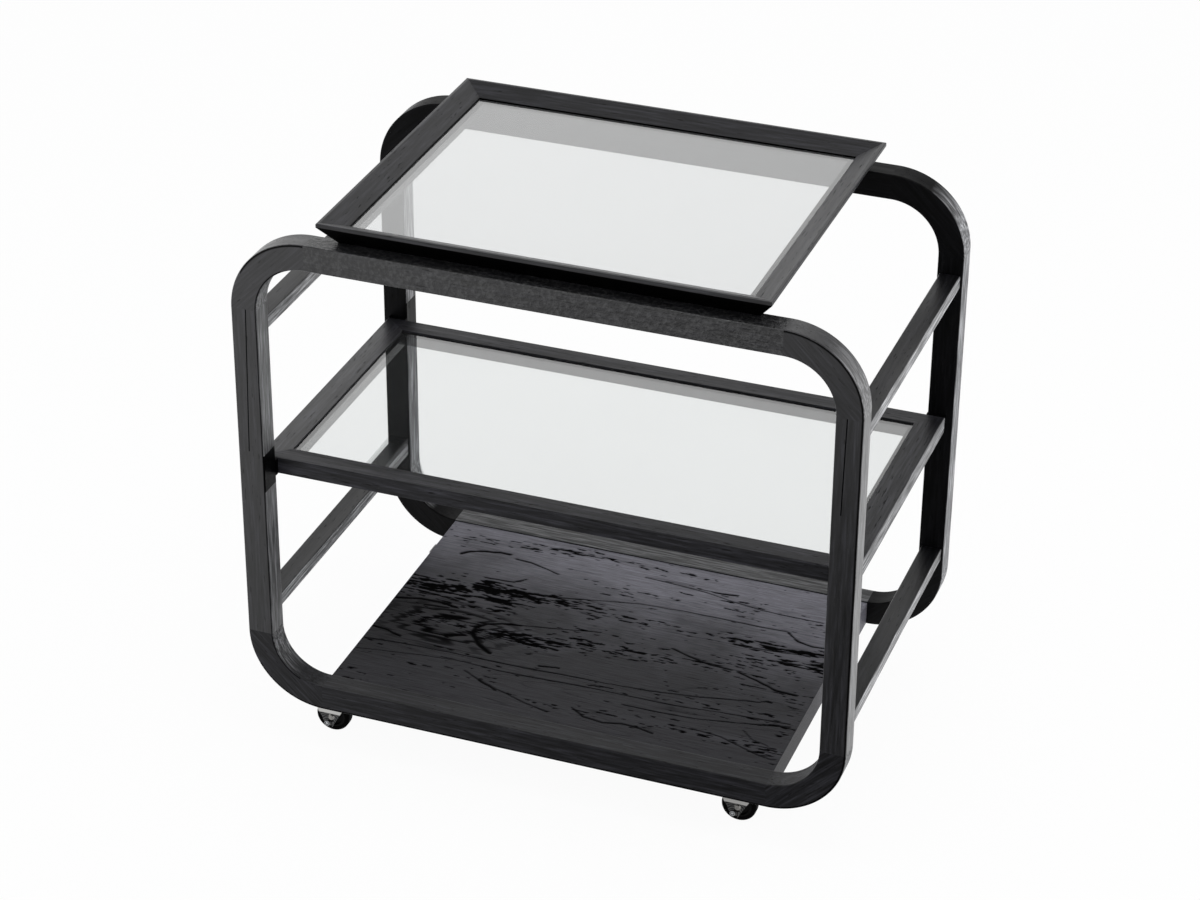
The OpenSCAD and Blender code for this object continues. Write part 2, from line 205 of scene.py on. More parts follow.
def softbox(name, place, width, tall, watts):
    bpy.ops.object.light_add(type="AREA", location=place)
    lamp = bpy.context.object
    lamp.name = name
    lamp.data.shape = "RECTANGLE"
    lamp.data.size = width
    lamp.data.size_y = tall
    lamp.data.energy = watts
    lamp.rotation_euler = (aim - Vector(place)).to_track_quat("-Z", "Y").to_euler()
    print(name, "of", watts, "W")


softbox("overhead", (0.3, -0.4, 2.8), 1.4, 1.4, 16.0)
softbox("right_strip", (2.6, 1.2, 1.5), 0.8, 1.2, 14.0)
softbox("front_fill", (-2.4, -2.2, 1.6), 1.6, 1.6, 12.0)

# %% [markdown]
# ## Floor
# A plain pale floor carries the trolley's faint shadow. To the camera and through glass
# it is a white card, as in the photograph. In the wood's reflection it carries a painted
# shadow, darker close in front of the trolley, which is what keeps the near faces of the
# black timber dark.

# %% Floor
SHADOW_POOL_CENTRE = (0.22, -0.75)
SHADOW_POOL_SQUASH = 0.7
CARD_SHARE = 0.95
bpy.ops.object.select_all(action="DESELECT")
bpy.ops.mesh.primitive_plane_add(size=40.0, location=(0.0, 0.0, 0.0))
floor = bpy.context.object
floor.name = "floor"
card, tree, shader = new_finish("floor_card")
shader.inputs["Base Color"].default_value = (0.86, 0.86, 0.86, 1.0)
shader.inputs["Roughness"].default_value = 1.0
shader.inputs["Specular IOR Level"].default_value = 0.0
rays = add(tree, "ShaderNodeLightPath").outputs
spot = add(tree, "ShaderNodeTexCoord").outputs["Object"]
centred = mapped(tree, spot, Location=(-SHADOW_POOL_CENTRE[0], -SHADOW_POOL_CENTRE[1] * SHADOW_POOL_SQUASH, 0.0),
                 Scale=(1.0, SHADOW_POOL_SQUASH, 1.0))
half_reach = math_of(tree, "MULTIPLY", measure(tree, "LENGTH", centred), 0.5)
# painted shadow in the floor's reflection, darkest just in front of the trolley; behind it the floor stays
# unshaded
shadow_pool = ramp(tree, half_reach, [(0.05, 0.03), (0.14, 0.09), (0.26, 0.40), (0.42, 0.80), (0.60, 1.0)])
unshaded_behind = ranged(tree, axes_of(tree, spot)["Y"], -0.32, -0.10)
mirrored = over(tree, rays["Is Glossy Ray"], WHITE, math_of(tree, "MAXIMUM", shadow_pool, unshaded_behind))
glow = add(tree, "ShaderNodeEmission", {"Color": mirrored, "Strength": 1.0})
direct = math_of(tree, "MAXIMUM", rays["Is Camera Ray"], rays["Is Transmission Ray"])
every = math_of(tree, "MAXIMUM", direct, rays["Is Glossy Ray"])
share = math_of(tree, "MULTIPLY", every, CARD_SHARE)
blend = add(tree, "ShaderNodeMixShader", {0: share, 1: shader.outputs[0], 2: glow.outputs[0]})
plug(tree, blend.outputs[0], tree.nodes["Material Output"].inputs["Surface"])
floor.data.materials.append(card)
print("floor:", len(tree.nodes), "nodes")

# %% [markdown]
# ## Fibres of the timber
# Stained and lacquered ash or oak keeps a little of its fibre: long fine streaks along
# the grain, and short open pores that stay matt. The pattern is noise in object
# coordinates, squeezed along the fibres. Each bar is turned so that the fibres run
# along it, and the quarter-circle corners, sawn from straight boards, get a diagonal.

# %% Fibres
FIBRE_TURNS = {
    "x": (0.0, 0.0, 0.0),
    "y": (0.0, 0.0, math.radians(-90)),
    "z": (0.0, math.radians(90), 0.0),
    "rising": (0.0, math.radians(45), 0.0),
    "falling": (0.0, math.radians(-45), 0.0),
}
LONG_SQUEEZE = (0.055, 1.0, 1.0)
SHORT_SQUEEZE = (0.11, 1.0, 1.0)
PORE_STOPS = [(0.0, 1.0), (0.29, 1.0), (0.36, 0.0), (1.0, 0.0)]


def fibres_of(tree, where, fibres):
    turned = mapped(tree, where, Rotation=FIBRE_TURNS[fibres])
    long_way = mapped(tree, turned, Scale=LONG_SQUEEZE)
    short_way = mapped(tree, turned, Scale=SHORT_SQUEEZE)
    fibre = noise_of(tree, long_way, 330.0, 5.0, 0.62)
    broad = noise_of(tree, long_way, 60.0, 3.0, 0.55)
    pores = ramp(tree, noise_of(tree, short_way, 420.0, 2.0, 0.55), PORE_STOPS)
    return turned, fibre, broad, pores


def shades_of(places, depth, hue, steps):
    return [(place, tuple(depth * step * part for part in hue)) for place, step in zip(places, steps)]


# %% [markdown]
# ## Dark lines and painted shade in the timber
# The rings' edges get thin lines of painted shade, each shelf spacer gets a painted shadow
# on the post beside it, both front posts have a glue line, and the tray gets painted shade
# below its flared wall and on its downward faces. Each of these is a mask, 1 on the mark
# and 0 off it. It is worked out from the place on the trolley, so that no image has to be
# painted.

# %% Distance to the ring's edge
RING_HALF = (0.400, 0.33275)
RING_MIDDLE = 0.39625
RING_RADIUS = 0.1
MEMBER = 0.034


def edge_reach(tree, parts):
    sideways = math_of(tree, "ADD", math_of(tree, "ABSOLUTE", parts["X"]), RING_RADIUS - RING_HALF[0])
    lifted = math_of(tree, "SUBTRACT", parts["Z"], RING_MIDDLE)
    upright = math_of(tree, "ADD", math_of(tree, "ABSOLUTE", lifted), RING_RADIUS - RING_HALF[1])
    squares = [math_of(tree, "POWER", math_of(tree, "MAXIMUM", way, 0.0), 2.0) for way in (sideways, upright)]
    within = math_of(tree, "MINIMUM", math_of(tree, "MAXIMUM", sideways, upright), 0.0)
    rounded = math_of(tree, "ADD", math_of(tree, "SQRT", math_of(tree, "ADD", *squares)), within)
    return math_of(tree, "SUBTRACT", RING_RADIUS, rounded)


# %% [markdown]
# ## The four masks
# The painted edge shade on the outer edge runs round the ring up to the left post, and the
# left post has its painted edge shade on the inner edge instead. A glue line leans a little,
# so its place along x moves with the height. Comparing with a half width gives a line of
# even thickness.

# %% Masks
TO_CENTIMETRES = 100.0
LEFT_EDGE = -0.385
LEFT_POST = -0.33
SPACER_HEIGHT = 0.400
SPACER_REACH = 0.026
POST_INSIDE = 0.372
SEAM = 0.0007


# painted shade: thin dark lines along the ring's edges on its broad faces
def painted_edge_shade(tree, parts, facing):
    reach = edge_reach(tree, parts)
    from_outside = math_of(tree, "MULTIPLY", reach, TO_CENTIMETRES)
    from_inside = math_of(tree, "MULTIPLY", math_of(tree, "SUBTRACT", MEMBER, reach), TO_CENTIMETRES)
    outer = ramp(tree, from_outside, [(0.0, 1.0), (0.22, 0.9), (0.36, 0.0)])
    inner = ramp(tree, from_inside, [(0.0, 1.0), (0.16, 0.9), (0.26, 0.0)])
    outer = math_of(tree, "MULTIPLY", outer, math_of(tree, "GREATER_THAN", parts["X"], LEFT_EDGE))
    inner = math_of(tree, "MULTIPLY", inner, math_of(tree, "LESS_THAN", parts["X"], LEFT_POST))
    broadside = math_of(tree, "GREATER_THAN", math_of(tree, "ABSOLUTE", facing["Y"]), 0.9)
    return math_of(tree, "MULTIPLY", math_of(tree, "MAXIMUM", outer, inner), broadside)


# painted shadow on the post's inner face beside each shelf spacer
def spacer_shadow(tree, parts, facing):
    beside = math_of(tree, "COMPARE", parts["Z"], SPACER_HEIGHT, SPACER_REACH)
    inner = math_of(tree, "LESS_THAN", math_of(tree, "ABSOLUTE", parts["X"]), POST_INSIDE)
    turned_in = math_of(tree, "GREATER_THAN", math_of(tree, "ABSOLUTE", facing["X"]), 0.5)
    return math_of(tree, "MULTIPLY", beside, math_of(tree, "MULTIPLY", inner, turned_in))


def glue_line(tree, parts, seam):
    start, lean, low_end, high_end = seam
    leaning = math_of(tree, "MULTIPLY_ADD", parts["Z"], -lean, parts["X"])
    on_line = math_of(tree, "COMPARE", leaning, start, SEAM)
    span = math_of(tree, "COMPARE", parts["Z"], (low_end + high_end) / 2, (high_end - low_end) / 2)
    return math_of(tree, "MULTIPLY", on_line, span)


def shaded_wall(tree, parts, facing, wall_top):
    below = math_of(tree, "LESS_THAN", parts["Z"], wall_top)
    return math_of(tree, "MAXIMUM", below, math_of(tree, "LESS_THAN", facing["Z"], -0.05))


# %% [markdown]
# ## Painted sheen, painted shade and ink
# A face that looks sideways carries a painted sheen: it gets lighter shades of the same
# fibre noise, by the way the face looks, and a top face can be made paler the same way. A
# glue line gets ink as its tone, and the other marks get the same near-black as painted
# shade. A mark's metallic share goes up and its lacquer is taken away, because otherwise
# the mirrored room would wash it out.

# %% Painted sheen, painted shade and ink
STAIN_HUE = (1.0, 0.985, 1.2)
PALE_HUE = (1.0, 1.0, 1.03)
PORE = (0.0015, 0.0015, 0.0018, 1.0)
INK_AND_SHADE = (0.0008, 0.0008, 0.0009, 1.0)


# painted sheen on sideways faces; the same lightening makes a top face paler
def paler_by_facing(tree, tone, fibre, slant, starts_at, amount):
    pale = ramp(tree, fibre, shades_of((0.36, 0.50, 0.66), amount, PALE_HUE, (0.2, 1.0, 2.8)))
    wear_and_sheen = ranged(tree, math_of(tree, "ABSOLUTE", slant), starts_at, 0.95, to_high=0.9)
    return over(tree, wear_and_sheen, tone, pale)


# ink for glue lines, and the same near-black as painted shade for the other marks
def ink_and_shade(tree, shader, tone, marks, lacquer):
    ink_and_shade_share = 0.0
    for mark in marks:
        tone = over(tree, mark, tone, INK_AND_SHADE)
        ink_and_shade_share = math_of(tree, "MAXIMUM", ink_and_shade_share, mark)
    plug(tree, ink_and_shade_share, shader.inputs["Metallic"])
    left_bare = math_of(tree, "SUBTRACT", 1.0, ink_and_shade_share)
    plug(tree, math_of(tree, "MULTIPLY", left_bare, lacquer), shader.inputs["Coat Weight"])
    return tone


# %% [markdown]
# ## One recipe for all the timber
# The bars differ only in how dark the stain is, how glossy the lacquer is and how much
# painted sheen their sideways faces carry, so one function with those settings makes every
# finish. The open pores are rougher than the rest, and they and the fibres make the bump.

# %% Timber finish
def timber(name, fibres, stain=0.0095, rough=(0.34, 0.48), relief=0.3, sheen=0.5, lacquer=0.3, mottle=0.0,
           seam=None, wall_top=None, side_sheen=0.0, paler_top=0.0, edge_shaded=False, spacer_shaded=False):
    finish, tree, shader = new_finish(name)
    place = add(tree, "ShaderNodeTexCoord").outputs
    turned, fibre, broad, pores = fibres_of(tree, place["Object"], fibres)
    parts = axes_of(tree, place["Object"])
    facing = axes_of(tree, place["Normal"])
    streaks = ramp(tree, fibre, shades_of((0.34, 0.52, 0.72), stain, STAIN_HUE, (0.25, 1.0, 3.0)))
    tone = over(tree, pores, streaks, PORE)
    skin = math_of(tree, "SUBTRACT", math_of(tree, "MULTIPLY_ADD", broad, 0.7, fibre), pores)
    if mottle:
        pebble = noise_of(tree, turned, 210.0, 3.0, 0.55)
        blobs = ramp(tree, pebble, [(0.38, stain * 0.15), (0.50, stain), (0.64, stain * 4.5)])
        tone = over(tree, 0.5, tone, blobs)
        skin = math_of(tree, "MULTIPLY_ADD", pebble, mottle, skin)
    # painted sheen: the faces that look sideways get paler fibre shades
    if side_sheen:
        tone = paler_by_facing(tree, tone, fibre, facing["X"], 0.5, side_sheen)
    # the top faces are made paler
    if paler_top:
        tone = paler_by_facing(tree, tone, fibre, facing["Z"], 0.8, paler_top)
    shader.inputs["Specular IOR Level"].default_value = sheen
    shader.inputs["Coat Weight"].default_value = lacquer
    shader.inputs["Coat Roughness"].default_value = 0.28
    marks = []
    # painted shade along the ring's edges
    if edge_shaded:
        marks.append(painted_edge_shade(tree, parts, facing))
    # painted shadow beside the shelf spacers
    if spacer_shaded:
        marks.append(spacer_shadow(tree, parts, facing))
    if seam:
        marks.append(glue_line(tree, parts, seam))
    if wall_top:
        marks.append(shaded_wall(tree, parts, facing, wall_top))
    # ink for the glue lines, painted shade for the other marks
    if marks:
        tone = ink_and_shade(tree, shader, tone, marks, lacquer)
    plug(tree, tone, shader.inputs["Base Color"])
    plug(tree, math_of(tree, "MULTIPLY_ADD", pores, 0.4, ranged(tree, broad, 0.35, 0.65, *rough)),
         shader.inputs["Roughness"])
    bump = bump_of(tree, skin, relief, 0.0004)
    plug(tree, bump, shader.inputs["Normal"])
    plug(tree, bump, shader.inputs["Coat Normal"])
    return finish


# %% [markdown]
# ## The timber finishes
# In the photograph the back ring is the darkest, so it gets a darker copy of the finish as
# painted shade. The lower front members get a duller copy, also painted shade, and the
# spacers a near-black one, painted shade at the shelf corners. The front top rail is
# pebbled under its lacquer, and the faces that look sideways carry a painted sheen. Each
# group has its own settings, and a finish for each way that its fibres run.

# %% Timber finishes
TRAY_WALL_TOP = 0.7472
CORNER_WAYS = ("rising", "falling")
GLUE_LINES = {"left": (-0.39675, 0.026, 0.43, 0.671), "right": (0.3696, 0.0165, 0.50, 0.665)}
high_timbers = {way: timber(f"stained_timber_{way}", way, side_sheen=0.12, edge_shaded=True) for way in CORNER_WAYS}
# lower front members: a duller copy of the finish, painted shade
shaded_low_timbers = {way: timber(f"shaded_low_timber_{way}", way, 0.010, (0.40, 0.54), sheen=0.22, lacquer=0.12,
                           side_sheen=0.12, edge_shaded=True) for way in ("x", *CORNER_WAYS)}
# back ring: a darker copy of the finish, painted shade
shaded_back_timbers = {way: timber(f"deep_timber_{way}", way, 0.002, (0.42, 0.55), sheen=0.06, lacquer=0.04,
                            side_sheen=0.26, spacer_shaded=way == "z") for way in ("x", "z", *CORNER_WAYS)}
shelf_timbers = {way: timber(f"shelf_timber_{way}", way, 0.013, (0.40, 0.55), sheen=0.2, lacquer=0.1,
                             side_sheen=0.2) for way in ("x", "y")}
tray_timbers = {way: timber(f"tray_timber_{way}", way, 0.010, (0.36, 0.42), relief=0.06, sheen=0.42,
                            lacquer=0.0, wall_top=TRAY_WALL_TOP) for way in ("x", "y")}
post_timbers = {hand: timber(f"{hand}_post_timber", "z", seam=line, side_sheen=0.12, edge_shaded=True, spacer_shaded=True)
                for hand, line in GLUE_LINES.items()}
pebbled_timber = timber("pebbled_timber_x", "x", 0.012, mottle=3.2, relief=0.9)
rail_timber = timber("side_rail_timber_y", "y", 0.005, sheen=0.25, lacquer=0.12, side_sheen=0.26)
pale_timber = timber("shelf_left_timber_y", "y", 0.015, (0.34, 0.46), sheen=0.38, lacquer=0.2)
paler_top_timber = timber("back_bottom_timber_x", "x", 0.008, (0.42, 0.56), sheen=0.2, lacquer=0.1,
                         paler_top=0.062)
# spacers: a near-black matt copy of the finish, painted shade at the shelf corners
shaded_spacer_finish = timber("shaded_spacer_timber_x", "x", 0.0012, (0.5, 0.6), sheen=0.03, lacquer=0.0)
print("timber finishes:", sum("timber" in finish.name for finish in bpy.data.materials))

# %% [markdown]
# ## Dressing the timber
# The CAD bars keep their shapes and only get a finish. The name of a bar tells which
# way its fibres run, so short loops do the work.

# %% Dress the bars
CORNER_FIBRES = {
    "top_left": "rising",
    "top_right": "falling",
    "bottom_left": "falling",
    "bottom_right": "rising",
}


def dress(name, finish):
    slots = nodes[name].data.materials
    slots.clear()
    slots.append(finish)


for corner, way in CORNER_FIBRES.items():
    front_timbers = high_timbers if corner.startswith("top") else shaded_low_timbers
    dress(f"front_{corner}_corner", front_timbers[way])
    dress(f"back_{corner}_corner", shaded_back_timbers[way])
for hand in ("left", "right"):
    dress(f"front_{hand}_post", post_timbers[hand])
    dress(f"back_{hand}_post", shaded_back_timbers["z"])
    dress(f"upper_{hand}_side_rail", rail_timber)
    dress(f"lower_{hand}_side_rail", rail_timber)
    dress(f"tray_{hand}", tray_timbers["y"])
for depth in ("front", "back"):
    dress(f"shelf_{depth}_rail", shelf_timbers["x"])
    dress(f"tray_{depth}", tray_timbers["x"])
dress("front_top_rail", pebbled_timber)
dress("front_bottom_rail", shaded_low_timbers["x"])
dress("back_top_rail", shaded_back_timbers["x"])
dress("back_bottom_rail", paler_top_timber)
dress("shelf_left_rail", pale_timber)
dress("shelf_right_rail", shelf_timbers["y"])
dress("shelf_spacers", shaded_spacer_finish)
print("CAD nodes in all:", len(nodes))

# %% [markdown]
# ## Glass
# Both panes are clear float glass with a polished coat on top. The tray's pane looks
# milkier in the photograph, so it has a darker tint and lets a little less through than
# the shelf's.

# %% Glass finishes
def pane(name, tint, clear):
    finish, tree, shader = new_finish(name)
    breath = noise_of(tree, add(tree, "ShaderNodeTexCoord").outputs["Object"], 3.0, 2.0)
    edge = tuple(v * 0.98 for v in tint)
    plug(tree, ramp(tree, breath, [(0.3, edge), (0.7, tint)]), shader.inputs["Base Color"])
    shader.inputs["Roughness"].default_value = 0.01
    shader.inputs["IOR"].default_value = 1.5
    shader.inputs["Transmission Weight"].default_value = clear
    shader.inputs["Coat Weight"].default_value = 1.0
    shader.inputs["Coat Roughness"].default_value = 0.03
    print(name, "lets through", clear)
    return finish


dress("shelf_glass", pane("shelf_pane", (0.722, 0.740, 0.737), 0.98))
dress("tray_glass", pane("tray_pane", (0.668, 0.682, 0.682), 0.93))

# %% [markdown]
# ## Metal, rubber and beech
# The casters are nickel-plated pressed steel with a moulded hub and a rubber tyre, held
# by zinc-plated screws. The dowels are bare beech and stay out of sight. A metal's marks
# change both its tone and its roughness, and a dull material gets a fine bump instead.

# %% Metal and dull finishes
BLOTCH = 0.12


def plated(name, tone, rough):
    finish, tree, shader = new_finish(name)
    marks = noise_of(tree, add(tree, "ShaderNodeTexCoord").outputs["Object"], 160.0, 4.0, 0.6)
    tarnish = tuple(v * (1.0 - 3.0 * BLOTCH) for v in tone)
    plug(tree, ramp(tree, marks, [(0.35, tarnish), (0.6, tone)]), shader.inputs["Base Color"])
    plug(tree, ranged(tree, marks, 0.0, 1.0, rough, rough + BLOTCH), shader.inputs["Roughness"])
    shader.inputs["Metallic"].default_value = 1.0
    return finish


def dull(name, tone, rough, speckle, sheen):
    finish, tree, shader = new_finish(name)
    grain = noise_of(tree, add(tree, "ShaderNodeTexCoord").outputs["Object"], speckle, 3.0)
    wear_and_sheen = tuple(min(1.0, v * 1.5) for v in tone)
    plug(tree, ramp(tree, grain, [(0.35, tone), (0.75, wear_and_sheen)]), shader.inputs["Base Color"])
    plug(tree, bump_of(tree, grain, 0.15, 0.0002), shader.inputs["Normal"])
    shader.inputs["Roughness"].default_value = rough
    shader.inputs["Specular IOR Level"].default_value = sheen
    return finish


nickel = plated("nickel_plate", (0.46, 0.45, 0.43), 0.24)
zinc = plated("zinc_plate", (0.66, 0.68, 0.70), 0.34)
rubber = dull("tyre_rubber", (0.0012, 0.0012, 0.0012), 0.6, 900.0, 0.03)
moulding = dull("hub_moulding", (0.003, 0.003, 0.003), 0.5, 400.0, 0.08)
beech = dull("bare_beech", (0.50, 0.35, 0.20), 0.6, 300.0, 0.5)
for name in nodes:
    if name.endswith("dowels"):
        dress(name, beech)
    elif name.startswith("caster"):
        piece = name.split("_")[1]
        dress(name, {"tyre": rubber, "hub": moulding, "screws": zinc}.get(piece, nickel))
print("caster nodes:", sum(name.startswith("caster") for name in nodes))

# %% [markdown]
# ## Finish of the forks
# A caster fork is bent from sheet steel. Rolling leaves curved scratches round the rivet
# in its cheek, and a dark oval sits above them. The cheek's tone is kept far darker than
# the plain nickel as painted shade, and the strip over the bend is a painted highlight.
# The scratches are a wave texture in rings, centred on the rivet, and a map range on the
# height switches to the highlight strip.

# %% Fork finish
WHEEL_BACK = 0.0275
BEND = (0.0284, 0.0312)
RIVET = (-0.006, 0.013)
OVAL_CENTRE = (-0.0008, 0.0178)
OVAL_HALF = (0.0042, 0.0030)
# painted highlight for the strip over the bend
BEND_HIGHLIGHT = (0.80, 0.79, 0.77, 1.0)
DARK_STEEL = (0.01, 0.01, 0.01, 1.0)


def cheek_shade_and_highlight(corner, wheel_x):
    finish, tree, shader = new_finish(f"shaded_pressed_nickel_{corner}")
    place = add(tree, "ShaderNodeTexCoord").outputs["Object"]
    centred = mapped(tree, place, Location=(-wheel_x - RIVET[0], 0.0, -RIVET[1]))
    rolling = {"Vector": centred, "Scale": 95.0, "Distortion": 5.0, "Detail": 3.0, "Detail Scale": 2.5}
    arcs = add(tree, "ShaderNodeTexWave", rolling, wave_type="RINGS", rings_direction="Y").outputs["Fac"]
    # cheek tone far darker than plain nickel: painted shade; the arcs are scratches
    tone = ramp(tree, arcs, [(0.05, 0.03), (0.5, 0.08), (0.95, 0.15)])
    oval = mapped(tree, place, Scale=(1 / OVAL_HALF[0], 0.0, 1 / OVAL_HALF[1]),
                  Location=(-(wheel_x + OVAL_CENTRE[0]) / OVAL_HALF[0], 0.0, -OVAL_CENTRE[1] / OVAL_HALF[1]))
    dark_oval = ramp(tree, measure(tree, "LENGTH", oval), [(0.0, 1.0), (0.7, 1.0), (1.0, 0.0)])
    tone = over(tree, dark_oval, tone, DARK_STEEL)
    # painted highlight strip over the bend
    strip = ranged(tree, axes_of(tree, place)["Z"], BEND[0] - 0.0006, BEND[0] + 0.0004)
    plug(tree, over(tree, strip, tone, BEND_HIGHLIGHT), shader.inputs["Base Color"])
    shader.inputs["Metallic"].default_value = 1.0
    shader.inputs["Roughness"].default_value = 0.3
    return finish


# %% [markdown]
# ## Tools for the forks
# A fork is shaped by moving some of its vertices, and no hand can click them here. One
# helper copies a piece with a mesh of its own, and another selects the vertices of a
# piece by their place.

# %% Fork tools
CORNERS = ("front_left", "front_right", "back_left", "back_right")
CASTER_X = 0.28
CASTER_Y = 0.188
AXLE_HEIGHT = 0.023
cheek_out = max(v.co.y for v in nodes["caster_fork_front_left"].data.vertices) + CASTER_Y
print("cheek stands off the swivel by", round(cheek_out, 4))


def swivel_of(corner):
    return (CASTER_X if corner.endswith("right") else -CASTER_X,
            CASTER_Y if corner.startswith("back") else -CASTER_Y)


def duplicate_of(piece, name):
    bpy.ops.object.select_all(action="DESELECT")
    piece.select_set(True)
    bpy.context.view_layer.objects.active = piece
    bpy.ops.object.duplicate()
    bpy.context.object.name = name
    return bpy.context.object


def pick(piece, wanted):
    bpy.ops.mesh.select_all(action="DESELECT")
    bpy.ops.object.mode_set(mode="OBJECT")
    for vertex in piece.data.vertices:
        vertex.select = wanted(vertex.co)
    bpy.ops.object.mode_set(mode="EDIT")


# %% [markdown]
# ## Pressed forks
# The edges of a pressed fork are a little round, its cheek steps in at the crown and its
# lower end is drawn in round the axle. A copy of each CAD fork is welded and cut at the
# two bend lines. The strip above them is pushed inwards, the round end is made smaller,
# and a bevel is applied.

# %% Pressed forks
CHEEK_RADIUS = 0.0165
CHEEK_TRIM = 0.83
CROWN_STEP = 0.0011
PRESS_ROUND = 0.0003
WELD = 0.00001


def press(fork, wheel_x, swivel_y):
    bpy.ops.object.mode_set(mode="EDIT")
    bpy.ops.mesh.select_all(action="SELECT")
    bpy.ops.mesh.remove_doubles(threshold=WELD)
    for height in BEND:
        bpy.ops.mesh.select_all(action="SELECT")
        bpy.ops.mesh.bisect(plane_co=(0.0, 0.0, height), plane_no=(0.0, 0.0, 1.0))
    bpy.ops.mesh.select_mode(type="VERT")
    for outward in (-1, 1):
        pick(fork, lambda at: at.z > BEND[1] - WELD and outward * (at.y - swivel_y) > cheek_out - 0.0001)
        bpy.ops.transform.translate(value=(0.0, -outward * CROWN_STEP, 0.0))
    pick(fork, lambda at: abs(math.hypot(at.x - wheel_x, at.z - AXLE_HEIGHT) - CHEEK_RADIUS) < 0.0004)
    bpy.ops.transform.resize(value=(CHEEK_TRIM, 1.0, CHEEK_TRIM),
                             center_override=(wheel_x, swivel_y, AXLE_HEIGHT))
    bpy.ops.object.mode_set(mode="OBJECT")
    soften = fork.modifiers.new("soften", "BEVEL")
    soften.width = PRESS_ROUND
    soften.segments = 2
    soften.limit_method = "ANGLE"
    soften.angle_limit = math.radians(40)
    bpy.ops.object.modifier_apply(modifier="soften")


for corner in CORNERS:
    swivel_x, swivel_y = swivel_of(corner)
    wheel_x = swivel_x - WHEEL_BACK
    fork = duplicate_of(nodes[f"caster_fork_{corner}"], f"pressed_fork_{corner}")
    press(fork, wheel_x, swivel_y)
    fork.data.materials.clear()
    fork.data.materials.append(cheek_shade_and_highlight(corner, wheel_x))
    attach(fork, f"swivel_{corner}")
    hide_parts(f"caster_fork_{corner}")
    print(fork.name, "faces:", len(fork.data.polygons))

# %% [markdown]
# ## Cheek rivets
# A rivet with a raised ring is set in the outside of each cheek: a flattened ball for its
# head and a torus for the ring. One pair is modelled about the wheel's centre line, and
# each corner gets a copy with a mesh of its own.

# %% Rivets
RIVET_RADIUS = 0.0018
RIVET_FLATNESS = 0.45
COLLAR_RADIUS = 0.0031
COLLAR_WIRE = 0.0005
bpy.ops.object.select_all(action="DESELECT")
heads = []
for outward in (-1, 1):
    spot = (RIVET[0], outward * cheek_out, RIVET[1])
    bpy.ops.mesh.primitive_uv_sphere_add(segments=24, ring_count=12, radius=RIVET_RADIUS, location=spot)
    bpy.context.object.scale = (1.0, RIVET_FLATNESS, 1.0)
    heads.append(bpy.context.object)
    bpy.ops.mesh.primitive_torus_add(major_segments=32, minor_segments=8, major_radius=COLLAR_RADIUS,
                                     minor_radius=COLLAR_WIRE, location=spot,
                                     rotation=(math.radians(90), 0.0, 0.0))
    heads.append(bpy.context.object)
for head in heads:
    head.select_set(True)
bpy.context.view_layer.objects.active = heads[0]
bpy.ops.object.join()
rivet_pair = bpy.context.object
bpy.ops.object.transform_apply(location=True, rotation=True, scale=True)
bpy.ops.object.shade_smooth_by_angle(angle=math.radians(40))
rivet_pair.data.materials.clear()
rivet_pair.data.materials.append(zinc)
for corner in CORNERS:
    swivel_x, swivel_y = swivel_of(corner)
    rivets = duplicate_of(rivet_pair, f"cheek_rivets_{corner}")
    rivets.data.transform(Matrix.Translation((swivel_x - WHEEL_BACK, swivel_y, 0.0)))
    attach(rivets, f"swivel_{corner}")
bpy.data.objects.remove(rivet_pair)
print("rivet pairs:", len(CORNERS))

# %% [markdown]
# ## Bottom board
# The board is coarse open-grained timber: the soft rings have been brushed out and
# leave long pits that follow the grain and curl round a knot. Pits of this size show
# from a step away, so they are cut into the mesh. A grid is laid on the board's top and
# its rim is drawn down to make the slab.

# %% Slab
board_low, board_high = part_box("bottom_board")
PITCH_ALONG = 0.0024
PITCH_ACROSS = 0.0012
along = round((board_high.x - board_low.x) / PITCH_ALONG)
across = round((board_high.y - board_low.y) / PITCH_ACROSS)
bpy.ops.object.select_all(action="DESELECT")
bpy.ops.mesh.primitive_grid_add(x_subdivisions=along, y_subdivisions=across, size=1.0,
                                location=(0.0, 0.0, board_high.z))
board = bpy.context.object
board.name = "board_open_grain"
board.scale = (board_high.x - board_low.x, board_high.y - board_low.y, 1.0)
bpy.ops.object.transform_apply(location=True, rotation=True, scale=True)
bpy.ops.object.mode_set(mode="EDIT")
bpy.ops.mesh.select_all(action="DESELECT")
bpy.ops.mesh.select_mode(type="EDGE")
bpy.ops.mesh.select_non_manifold()
bpy.ops.mesh.extrude_region_move(TRANSFORM_OT_translate={"value": (0.0, 0.0, board_low.z - board_high.z)})
bpy.ops.mesh.edge_face_add()
bpy.ops.mesh.select_all(action="SELECT")
bpy.ops.mesh.normals_make_consistent(inside=False)
bpy.ops.object.mode_set(mode="OBJECT")
print("board faces:", len(board.data.polygons))

# %% [markdown]
# ## Cracks and torn bands
# A joiner would mark a board like this with a gouge: a few long cracks, a hook round the
# knot, and bands where the soft wood is torn out. Each mark is a half width, a depth and
# a short list of points, in millimetres on the board. Between the marks the fine grain
# is noise, drawn out along the fibres. A smooth leaf of harder wood has none: it is a
# row of centres, each with its half height. The knot's place is in metres.

